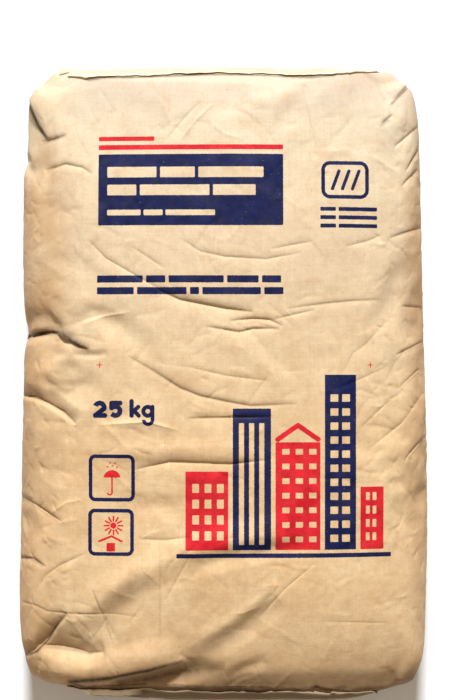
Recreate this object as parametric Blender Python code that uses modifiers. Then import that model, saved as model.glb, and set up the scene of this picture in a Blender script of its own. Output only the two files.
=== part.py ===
"""A filled 25 kg cement bag: a kraft paper valve sack lying on its back.

The sack is one closed solid, the paper and the packed powder together.  Each end
is a folded block end with a pasted cover patch, and the end of the valve's paper
sleeve shows beside the patch at one corner of the top end.

Metres.  X runs across the bag, Y along it towards the valve end, Z up through the
printed face.  The origin is on the floor, below the middle of the bag's box.
"""
import bmesh
import bpy
from mathutils import Vector

# Outer size of the filled bag
bag_width = 0.360
bag_length = 0.563
bag_height = 0.112

# Cage stations, as shares of the half width and half length
width_stations = (-1.0, -0.80, -0.45, 0.0, 0.45, 0.80, 1.0)
length_stations = (
    -1.0, -0.86, -0.70, -0.48, -0.26, -0.15, -0.05, 0.06, 0.16, 0.27, 0.50, 0.72, 0.90, 1.0)

# Each layer of the cage: height, share of the half width, share of the half length
layers = (
    (0.000, 0.93, 0.950),
    (0.026, 1.02, 1.000),
    (0.070, 1.02, 0.990),
    (0.102, 0.87, 0.945),
)
crown_rise = 0.014       # how far the middle of the printed face stands above its rim
fall_start = 0.50        # where along the half length the printed face starts to fall
valve_end_fall = 0.013   # how far the face has fallen at each end
lower_end_fall = 0.008
corner_fall = 0.012      # how much further it has fallen at the corners
left_taper = 0.040       # how much each side has come in at the valve end
right_taper = 0.064
taper_start = -0.1       # where along the half length the bag starts to narrow
left_corner_pull = 0.014  # how far the corners of the lower end sit back from its middle
right_corner_pull = 0.007

# Folds pressed into the printed face: the line each runs along, how far it pulls the cage
# down, and how far it reaches to either side.  Smoothing takes about a third off its depth.
folds = (
    ((-0.180, 0.045), (-0.150, 0.043), 0.0135, 0.028),
    ((-0.180, -0.010), (-0.148, -0.020), 0.0065, 0.028),
    ((-0.175, -0.070), (-0.135, -0.075), 0.0045, 0.028),
    ((-0.165, -0.232), (-0.145, -0.236), 0.0045, 0.030),
    ((-0.050, -0.252), (0.040, -0.200), 0.0025, 0.040),
    ((0.150, 0.080), (0.150, -0.050), 0.0060, 0.040),
)
side_share = 0.5         # how much of that depth a fold also draws the bag's side in
smoothing_levels = 2
end_fold_crease = 0.55   # how crisp the folds between an end and the two faces are

# Pasted paper on the ends
paper_gap = 0.0003       # from the sack to the paper that lies on it
paper_thickness = 0.0006
patch_depth = 0.022      # how far in from the bag's end the patch may reach
sleeve_depth = 0.032     # and the sleeve
patch_length = 0.276     # across the bag
patch_low = 0.017        # height of the patch's lower edge
patch_high = 0.082       # height of its upper edge
sleeve_gap = 0.0015      # from the patch's edge to the sleeve's end
sleeve_length = 0.012    # how much of the sleeve shows beside the patch
sleeve_low = 0.028
sleeve_high = 0.074
weld_distance = 0.0001

# The three axes, as the bag uses them
across, along, up = range(3)


def clear_scene():
    for old in list(bpy.data.objects):
        bpy.data.objects.remove(old, do_unlink=True)


def make_material(name, color, roughness):
    material = bpy.data.materials.new(name)
    material.use_nodes = True
    shader = material.node_tree.nodes["Principled BSDF"]
    shader.inputs["Base Color"].default_value = (*color, 1.0)
    shader.inputs["Roughness"].default_value = roughness
    shader.inputs["Metallic"].default_value = 0.0
    return material


def add_object(name, mesh, material, collection):
    mesh.materials.clear()
    mesh.materials.append(material)
    mesh.shade_smooth()
    piece = bpy.data.objects.new(name, mesh)
    collection.objects.link(piece)
    return piece


def cutting_plane(axis, place):
    """A plane square to one axis, as a point on it and its normal."""
    point = [0.0, 0.0, 0.0]
    normal = [0.0, 0.0, 0.0]
    point[axis] = place
    normal[axis] = 1.0
    return point, normal


def width_share(x_share, y_share):
    """The bag's half width at a station: full at the lower end, less towards the valve."""
    towards_valve = max(0.0, y_share - taper_start) / (1.0 - taper_start)
    taper = left_taper if x_share < 0 else right_taper
    return 1.0 - taper * towards_valve ** 2


def fold_depth(x, y):
    """How far the folds pull the face down at a place on it."""
    depth = 0.0
    for start, end, pull, reach in folds:
        run = Vector(end) - Vector(start)
        away = Vector((x, y)) - Vector(start)
        share = min(1.0, max(0.0, away.dot(run) / run.length_squared))
        distance = (away - share * run).length
        if distance < reach:
            depth += pull * (1.0 - (distance / reach) ** 2) ** 2
    return depth


def cage_point(x_share, y_share, layer):
    """Where one cage vertex of the given layer stands."""
    height, wide, long = layers[layer]
    x = x_share * wide * width_share(x_share, y_share) * bag_width / 2
    y = y_share * long * bag_length / 2
    if y_share == length_stations[0]:
        y += (left_corner_pull if x_share < 0 else right_corner_pull) * x_share ** 2
    if layer == len(layers) - 1:
        height += crown_rise * (1.0 - x_share ** 2) * (1.0 - y_share ** 4)
        end_fall = valve_end_fall if y_share > 0 else lower_end_fall
        towards_end = max(0.0, abs(y_share) - fall_start) / (1.0 - fall_start)
        height -= (end_fall + corner_fall * x_share ** 2) * towards_end ** 2
        height -= fold_depth(x, y)
    elif layer == len(layers) - 2 and abs(x_share) == 1.0:
        x -= x_share * side_share * fold_depth(x, y)
    return x, y, height


def split_cube(stations_by_axis):
    """A cube from -1 to 1, cut along each axis at the given stations."""
    cage = bmesh.new()
    bmesh.ops.create_cube(cage, size=2.0)
    for axis, stations in enumerate(stations_by_axis):
        for station in stations[1:-1]:
            point, normal = cutting_plane(axis, station)
            parts = cage.verts[:] + cage.edges[:] + cage.faces[:]
            bmesh.ops.bisect_plane(cage, geom=parts, plane_co=point, plane_no=normal)
    return cage


def crease_end_folds(cage):
    """Keep the folds where each end meets the printed face and the back crisp."""
    crease = cage.edges.layers.float.new("crease_edge")
    for edge in cage.edges:
        middle = (edge.verts[0].co + edge.verts[1].co) / 2
        if abs(middle.y) == 1.0 and abs(middle.z) == 1.0:
            edge[crease] = end_fold_crease


def fit_to_size(piece):
    """Scale and move the cage so that the smoothed shape fills the bag's box exactly."""
    bpy.context.view_layer.update()
    smoothed = piece.evaluated_get(bpy.context.evaluated_depsgraph_get()).to_mesh()
    target_low = (-bag_width / 2, -bag_length / 2, 0.0)
    target_size = (bag_width, bag_length, bag_height)
    for axis in (across, along, up):
        places = [vertex.co[axis] for vertex in smoothed.vertices]
        low = min(places)
        factor = target_size[axis] / (max(places) - low)
        for vertex in piece.data.vertices:
            vertex.co[axis] = target_low[axis] + (vertex.co[axis] - low) * factor
    piece.data.update()
    bpy.context.view_layer.update()


def make_sack(material, collection):
    top_layer = len(layers) - 1
    layer_stations = [2.0 * index / top_layer - 1.0 for index in range(len(layers))]
    cage = split_cube((width_stations, length_stations, layer_stations))
    crease_end_folds(cage)
    for vertex in cage.verts:
        layer = round((vertex.co.z + 1.0) / 2.0 * top_layer)
        vertex.co = cage_point(vertex.co.x, vertex.co.y, layer)
    mesh = bpy.data.meshes.new("sack")
    cage.to_mesh(mesh)
    cage.free()
    sack = add_object("sack", mesh, material, collection)
    smoothing = sack.modifiers.new("smoothing", "SUBSURF")
    smoothing.levels = smoothing_levels
    smoothing.render_levels = smoothing_levels
    fit_to_size(sack)
    return sack


def trim(sheet, axis, low, high):
    """Cut an open sheet down to what lies between two places along an axis."""
    for place, is_low in ((low, True), (high, False)):
        point, normal = cutting_plane(axis, place)
        parts = sheet.verts[:] + sheet.edges[:] + sheet.faces[:]
        bmesh.ops.bisect_plane(
            sheet, geom=parts, plane_co=point, plane_no=normal,
            clear_inner=is_low, clear_outer=not is_low)


def make_paper_on_end(name, sack, end, depth, x_range, z_range, material, collection):
    """Paper that lies on one end of the sack: its own surface, trimmed, lifted and thickened."""
    smoothed = sack.evaluated_get(bpy.context.evaluated_depsgraph_get())
    sheet = bmesh.new()
    sheet.from_mesh(smoothed.to_mesh())
    end_limits = sorted((end * (bag_length / 2 - depth), end * bag_length))
    trim(sheet, along, *end_limits)
    trim(sheet, across, *x_range)
    trim(sheet, up, *z_range)
    bmesh.ops.remove_doubles(sheet, verts=sheet.verts, dist=weld_distance)
    sheet.normal_update()
    for vertex in sheet.verts:
        vertex.co += vertex.normal * paper_gap
    mesh = bpy.data.meshes.new(name)
    sheet.to_mesh(mesh)
    sheet.free()
    paper = add_object(name, mesh, material, collection)
    wall = paper.modifiers.new("wall", "SOLIDIFY")
    wall.thickness = paper_thickness
    wall.offset = 1.0
    return paper


def make_bag():
    clear_scene()
    collection = bpy.data.collections.new("cement_bag")
    bpy.context.scene.collection.children.link(collection)
    kraft = make_material("kraft_paper", (0.60, 0.40, 0.22), 0.85)
    patch_paper = make_material("patch_paper", (0.56, 0.37, 0.20), 0.85)
    sleeve_paper = make_material("sleeve_paper", (0.66, 0.47, 0.28), 0.80)

    sack = make_sack(kraft, collection)

    patch_edge = patch_length / 2
    patch_x = (-patch_edge, patch_edge)
    patch_z = (patch_low, patch_high)
    for name, end in (("top_cover_patch", 1), ("bottom_cover_patch", -1)):
        make_paper_on_end(name, sack, end, patch_depth, patch_x, patch_z, patch_paper, collection)

    sleeve_edge = -patch_edge - sleeve_gap
    sleeve_x = (sleeve_edge - sleeve_length, sleeve_edge)
    sleeve_z = (sleeve_low, sleeve_high)
    make_paper_on_end(
        "valve_sleeve", sack, 1, sleeve_depth, sleeve_x, sleeve_z, sleeve_paper, collection)


make_bag()
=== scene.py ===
import math
import random

import bmesh
import bpy
import numpy as np
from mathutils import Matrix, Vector
from mathutils.bvhtree import BVHTree
from mathutils.geometry import delaunay_2d_cdt


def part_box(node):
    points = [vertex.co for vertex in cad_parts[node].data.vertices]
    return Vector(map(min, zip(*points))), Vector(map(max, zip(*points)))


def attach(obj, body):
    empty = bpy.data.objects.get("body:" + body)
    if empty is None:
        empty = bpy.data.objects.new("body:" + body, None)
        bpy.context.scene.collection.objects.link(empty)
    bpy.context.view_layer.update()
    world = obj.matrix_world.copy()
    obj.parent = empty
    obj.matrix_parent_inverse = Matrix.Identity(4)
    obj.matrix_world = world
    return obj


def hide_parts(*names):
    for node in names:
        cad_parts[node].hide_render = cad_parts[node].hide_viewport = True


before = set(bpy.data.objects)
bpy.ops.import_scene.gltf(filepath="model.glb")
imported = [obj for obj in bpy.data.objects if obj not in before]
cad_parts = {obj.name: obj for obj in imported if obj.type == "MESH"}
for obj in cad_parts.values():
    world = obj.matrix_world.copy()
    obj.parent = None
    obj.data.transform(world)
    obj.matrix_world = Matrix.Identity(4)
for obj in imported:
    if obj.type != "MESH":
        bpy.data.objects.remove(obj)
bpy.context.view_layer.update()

sackLow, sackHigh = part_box("sack")
halfWidth = (sackHigh[0] - sackLow[0]) / 2
halfLength = (sackHigh[1] - sackLow[1]) / 2
bagHeight = sackHigh[2] - sackLow[2]
mm = 0.001


def smoothShare(value, low, high):  # 0 below low, 1 above high, smooth between
    share = np.clip((value - low) / (high - low), 0.0, 1.0)
    return share * share * (3.0 - 2.0 * share)


def smoothCurve(value, points):  # a soft line through given (place, amount) points
    blurred = np.zeros_like(value)
    for shift, weight in ((-1.0, 0.25), (0.0, 0.5), (1.0, 0.25)):
        blurred += weight * np.interp(value + shift * outline["softness"], *zip(*points))
    return blurred


# The outline as the camera sees it. Each table is (place along the edge, how far the edge sits
# in from the bag's box), in metres, with places from the middle of the bag.
outline = {
    "softness": 0.006,
    "left": (
        (-0.262, 0.0080), (-0.250, 0.0040), (-0.238, 0.0009), (-0.223, -0.0015), (-0.180, -0.0022),
        (-0.130, -0.0009), (-0.060, 0.0), (-0.020, 0.0011), (0.019, 0.0018), (0.033, 0.0027),
        (0.045, 0.0048), (0.060, 0.0036), (0.072, 0.0016), (0.115, 0.0009), (0.190, 0.0018),
        (0.205, 0.0054), (0.250, 0.0062), (0.262, 0.0050)),
    "right": (
        (-0.268, 0.0130), (-0.258, 0.0070), (-0.248, 0.0032), (-0.238, 0.0013), (-0.210, 0.0002),
        (-0.145, -0.0016), (-0.052, -0.0012), (0.010, 0.0008), (0.060, 0.0022), (0.120, 0.0033),
        (0.170, 0.0043), (0.225, 0.0060), (0.240, 0.0076), (0.250, 0.0100), (0.260, 0.0125)),
    "valveEnd": (
        (-0.15, 0.0022), (-0.10, 0.0016), (-0.05, 0.0006), (0.03, 0.0), (0.06, 0.0016), (0.09, 0.0),
        (0.14, 0.0030)),
    "lowerEnd": (
        (-0.160, 0.0150), (-0.134, 0.0118), (-0.120, 0.0060), (-0.100, 0.0040), (-0.066, 0.0020),
        (-0.048, 0.0), (0.108, 0.0002), (0.122, 0.0026), (0.140, 0.0070), (0.155, 0.0125), (0.165, 0.0145)),
    "valveCorner": (0.0120, 0.0150),   # how far the rounded corners cut in, across and along
    "lowerCorner": (0.0060, 0.0030),
    "cornerSpan": (0.034, 0.030),      # how far from the corner the rounding starts
    "cornerPower": 2.2,                # and how late it turns
}
camera = {"centre": (0.002, 0.030), "distance": 1.6, "frameHeight": 0.6245}


# The filled shape
form = {
    "columns": 64, "rows": 100, "layers": 20,
    "sideRound": 0.026,        # inset of the top rim from the side's outermost line
    "backInset": 0.030,        # inset of the flat back from the same line
    "roundness": 2.3,          # of the sides: 2 is a circle, more is squarer
    "endStart": 0.80,          # share of the half length past which the block ends shape the sides
    "endRoundness": 0.5,       # how much squarer the sides are there
    "endNarrower": 0.25,       # and how much smaller their insets
    "valveBulge": 0.0145,      # how far each end swells past its upper fold, in its middle
    "lowerBulge": 0.0150,
    "backBulge": 0.0100,       # and past its lower fold
    "bulgePower": 2.2,         # how late the end turns in from its swell
    "valveFade": (0.3, 1.4),   # how fast the upper swell fades towards the left and the right corner
    "lowerFade": (1.2, 1.2),
    "fadePower": 3,
    "leastBulge": 0.12,        # share of the swell that stays at the corners
    "crest": 0.108,            # height of the face before the filling swells it
    "sideDrop": 0.017,         # how much lower the face is at its sides than in the middle
    "sideDropPower": 3.2,
    "valveFall": (0.105, 0.019, 2.0),    # where the face starts to fall to the valve end, how far, how late
    "lowerFall": (-0.150, 0.027, 2.4),
}


def outlineInsets(u, v):  # how far in from the bag's box the outline lies, across and along
    x, y = u * halfWidth, v * halfLength
    edgeIn = np.where(u < 0, smoothCurve(y, outline["left"]), smoothCurve(y, outline["right"]))
    endIn = np.where(v < 0, smoothCurve(x, outline["lowerEnd"]), smoothCurve(x, outline["valveEnd"]))
    spanX, spanY = outline["cornerSpan"]
    turnX = np.clip((np.abs(x) - halfWidth + spanX) / spanX, 0, 1)
    turnY = np.clip((np.abs(y) - halfLength + spanY) / spanY, 0, 1)
    corners, power = zip(outline["lowerCorner"], outline["valveCorner"]), outline["cornerPower"]
    cornerX, cornerY = (np.where(v < 0, *sizes) for sizes in corners)
    return edgeIn + cornerX * turnY ** power, endIn + cornerY * turnX ** power


def sackForm(u, v, w):  # cube coordinates from -1 to 1 to the filled sack, as arrays
    edgeIn, endIn = outlineInsets(u, v)
    endness = smoothShare(np.abs(v), form["endStart"], 1.0)
    power = 2.0 / (form["roundness"] + form["endRoundness"] * endness)
    turn = np.abs(w) * math.pi / 2
    sideReach = np.where(w > 0, form["sideRound"], form["backInset"]) * (1.0 - form["endNarrower"] * endness)
    sideIn = sideReach * (1.0 - np.cos(turn) ** power)
    fade = np.where(v > 0, np.where(u < 0, *form["valveFade"]), np.where(u < 0, *form["lowerFade"]))
    upperBulge = np.where(v > 0, form["valveBulge"], form["lowerBulge"])
    upperBulge = upperBulge * np.clip(1.0 - fade * np.abs(u) ** form["fadePower"], form["leastBulge"], 1.0)
    endInset = np.where(w > 0, upperBulge, form["backBulge"]) * np.abs(w) ** form["bulgePower"]
    onEnd = np.abs(v) > 0.9999
    rise = np.where(onEnd, 0.5 * (1.0 + w), 0.5 * (1.0 + np.sign(w) * np.sin(turn) ** power))

    x = u * (halfWidth - edgeIn - sideIn)
    y = v * (halfLength - endIn - endInset)
    top = form["crest"] - form["sideDrop"] * np.abs(u) ** form["sideDropPower"]
    for start, fall, late in (form["valveFall"], form["lowerFall"]):
        share = np.clip((y - start) / (math.copysign(halfLength, start) - start), 0.0, 1.0)
        top -= fall * share ** late
    return x, y, top * rise


def blockGrid(columns, rows, layers):  # a cube with square-ish cells for the filled shape
    block = bmesh.new()
    bmesh.ops.create_cube(block, size=2.0)
    for axis, cells in ((0, columns), (1, rows), (2, layers)):
        along = [e for e in block.edges if abs((e.verts[0].co - e.verts[1].co)[axis]) > 1.5]
        bmesh.ops.subdivide_edges(block, edges=along, cuts=cells - 1, use_grid_fill=True)
    return block


def readPoints(mesh, name="co"):
    flat = np.zeros(len(mesh.vertices) * 3)
    mesh.vertices.foreach_get(name, flat)
    return flat.reshape(-1, 3)


def writePoints(mesh, points):
    mesh.vertices.foreach_set("co", points.ravel())
    mesh.update()


def addObject(name, data):
    made = bpy.data.objects.new(name, data)
    bpy.context.scene.collection.objects.link(made)
    return made


def addPiece(name, cells):  # a new object of these cells
    mesh = bpy.data.meshes.new(name)
    cells.to_mesh(mesh)
    cells.free()
    return addObject(name, mesh)


def modifiedMesh(piece):  # the mesh that its modifiers make, which it then loses
    made = bpy.data.meshes.new_from_object(piece.evaluated_get(bpy.context.evaluated_depsgraph_get()))
    piece.modifiers.clear()
    return made


def keepModified(piece):
    piece.data = modifiedMesh(piece)
    piece.data.shade_smooth()


# How wide the paper of a side and of an end is on the unfolded sheet
paper = {"sideArc": 0.130, "endArc": 0.095}


def layPaperMap(block, flatMap):  # the unfolded paper: face in the middle, sides and back beyond it
    for face in block.faces:
        middle = face.calc_center_median()
        for loop in face.loops:
            u, v, w = loop.vert.co
            across, along = u * halfWidth, v * halfLength
            down = (1.0 - w) / 2.0
            if abs(middle.x) > 0.999:
                across = math.copysign(halfWidth + down * paper["sideArc"], middle.x)
            elif abs(middle.y) > 0.999:
                along = math.copysign(halfLength + down * paper["endArc"], middle.y)
            elif middle.z < -0.999:
                across = math.copysign(halfWidth + paper["sideArc"] + (1.0 - abs(u)) * halfWidth, middle.x)
            loop[flatMap].uv = (across, along)


def makeForm():
    block = blockGrid(form["columns"], form["rows"], form["layers"])
    layPaperMap(block, block.loops.layers.uv.new("paperFlat"))
    grid = np.array([vertex.co[:] for vertex in block.verts])
    for vertex, place in zip(block.verts, np.stack(sackForm(grid[:, 0], grid[:, 1], grid[:, 2]), axis=1)):
        vertex.co = place
    sack = addPiece("kraftSack", block)
    sack.data.shade_smooth()
    return sack


# Filling the paper: the powder pushes it out and its spare length crimps at the edges
filling = {
    "frames": 25, "quality": 5, "mass": 0.3, "pressure": 4.0, "spareLength": 0.015,
    "stretch": 60.0, "shear": 30.0, "bend": 3.0, "damping": 10.0, "airDamping": 2.0,
    "blurRounds": 60, "broadKept": 0.12,    # how the broad swell is found, and the share of it that is kept
    "cap": 0.006, "lift": (0.002, 0.03),    # the farthest move, and the heights where it starts and is free
}


def neighbourBlur(values, edges, rounds):  # each point moves to the mean of itself and its neighbours
    count = len(values)
    ends = np.concatenate((edges[:, 0], edges[:, 1]))
    others = np.concatenate((edges[:, 1], edges[:, 0]))
    degree = np.bincount(ends, minlength=count)[:, None] + 1.0
    for _ in range(rounds):
        total = np.stack([np.bincount(ends, weights=values[others, axis], minlength=count)
                          for axis in range(values.shape[1])], axis=1)
        values = (values + total) / degree
    return values


def fillSack(sack):
    mesh = sack.data
    rest = readPoints(mesh)
    cloth = sack.modifiers.new("filling", "CLOTH")
    settings = cloth.settings
    settings.quality = filling["quality"]
    settings.mass = filling["mass"]
    settings.tension_stiffness = settings.compression_stiffness = filling["stretch"]
    settings.shear_stiffness = filling["shear"]
    settings.bending_model = "ANGULAR"
    settings.bending_stiffness = filling["bend"]
    settings.tension_damping = settings.compression_damping = filling["damping"]
    settings.air_damping = filling["airDamping"]
    settings.effector_weights.gravity = 0.0
    settings.use_pressure = True
    settings.uniform_pressure_force = filling["pressure"]
    settings.shrink_min = -filling["spareLength"]
    cloth.collision_settings.use_collision = False
    cloth.point_cache.frame_end = filling["frames"]
    for number in range(1, filling["frames"] + 1):
        bpy.context.scene.frame_set(number)
    swollen = modifiedMesh(sack)
    filled = readPoints(swollen)
    bpy.data.meshes.remove(swollen)
    bpy.context.scene.frame_set(1)

    edges = np.array([edge.vertices[:] for edge in mesh.edges])
    move = filled - rest
    broad = neighbourBlur(move, edges, filling["blurRounds"])
    move = move - (1.0 - filling["broadKept"]) * broad
    size = np.linalg.norm(move, axis=1, keepdims=True) + 1e-9
    move *= filling["cap"] * np.tanh(size / filling["cap"]) / size
    lift = smoothShare(rest[:, 2], *filling["lift"])[:, None]
    writePoints(mesh, rest + move * lift)
    print("sack filled")


# Rounds of softening, cells halved within so many mm of a crease and above a height, and triangles at the end
fineness = {"rounds": 2, "nearCrease": 4.0, "above": 0.055, "triangles": 190000}


def refine(sack):  # soften the cells into finer ones
    softer = sack.modifiers.new("finer", "SUBSURF")
    softer.levels = softer.render_levels = fineness["rounds"]
    keepModified(sack)


def thin(sack):  # fewer triangles where the paper is plain, all of them at its creases
    now = sum(len(face.vertices) - 2 for face in sack.data.polygons)
    fewer = sack.modifiers.new("fewer", "DECIMATE")
    fewer.ratio = min(1.0, fineness["triangles"] / now)
    keepModified(sack)


def seenFromAbove(points):  # where the camera sees each point, on a plane at the bag's middle height
    nearer = camera["distance"] / (camera["distance"] + bagHeight / 2 - points[:, 2])
    centre = np.array(camera["centre"])
    return centre + (points[:, :2] - centre) * nearer[:, None]


# Fitting the outline, in metres across and along: how far the tables count, and where the sides and
# the ends start to move and move in full
fitting = {
    "usable": (0.150, 0.250), "blend": ((0.100, 0.165), (0.190, 0.262)), "step": 0.005,
    "soften": (0.1, 0.2, 0.4, 0.2, 0.1),
}


def fitOutline(sack):  # move the sides and ends so that their outline is the photo's again
    mesh = sack.data
    points = readPoints(mesh)
    soften, step = fitting["soften"], fitting["step"]
    for name, axis, side in (("left", 0, -1), ("right", 0, 1), ("lowerEnd", 1, -1), ("valveEnd", 1, 1)):
        seen = seenFromAbove(points)
        beside, usable = seen[:, 1 - axis], fitting["usable"][1 - axis]
        steps = np.arange(-usable, usable + mm, step)
        near = np.clip(np.round((beside + usable) / step).astype(int), 0, len(steps) - 1)
        near[np.abs(beside) > usable] = len(steps)
        reach = np.zeros(len(steps) + 1)
        np.maximum.at(reach, near, side * seen[:, axis])
        shift = (halfWidth, halfLength)[axis] - smoothCurve(steps, outline[name]) - reach[:-1]
        shift = np.convolve(np.pad(shift, len(soften) // 2, mode="edge"), soften, mode="valid")
        weight = smoothShare(side * points[:, axis], *fitting["blend"][axis])
        points[:, axis] += side * weight * np.interp(beside, steps, shift)
    writePoints(mesh, points)
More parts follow.
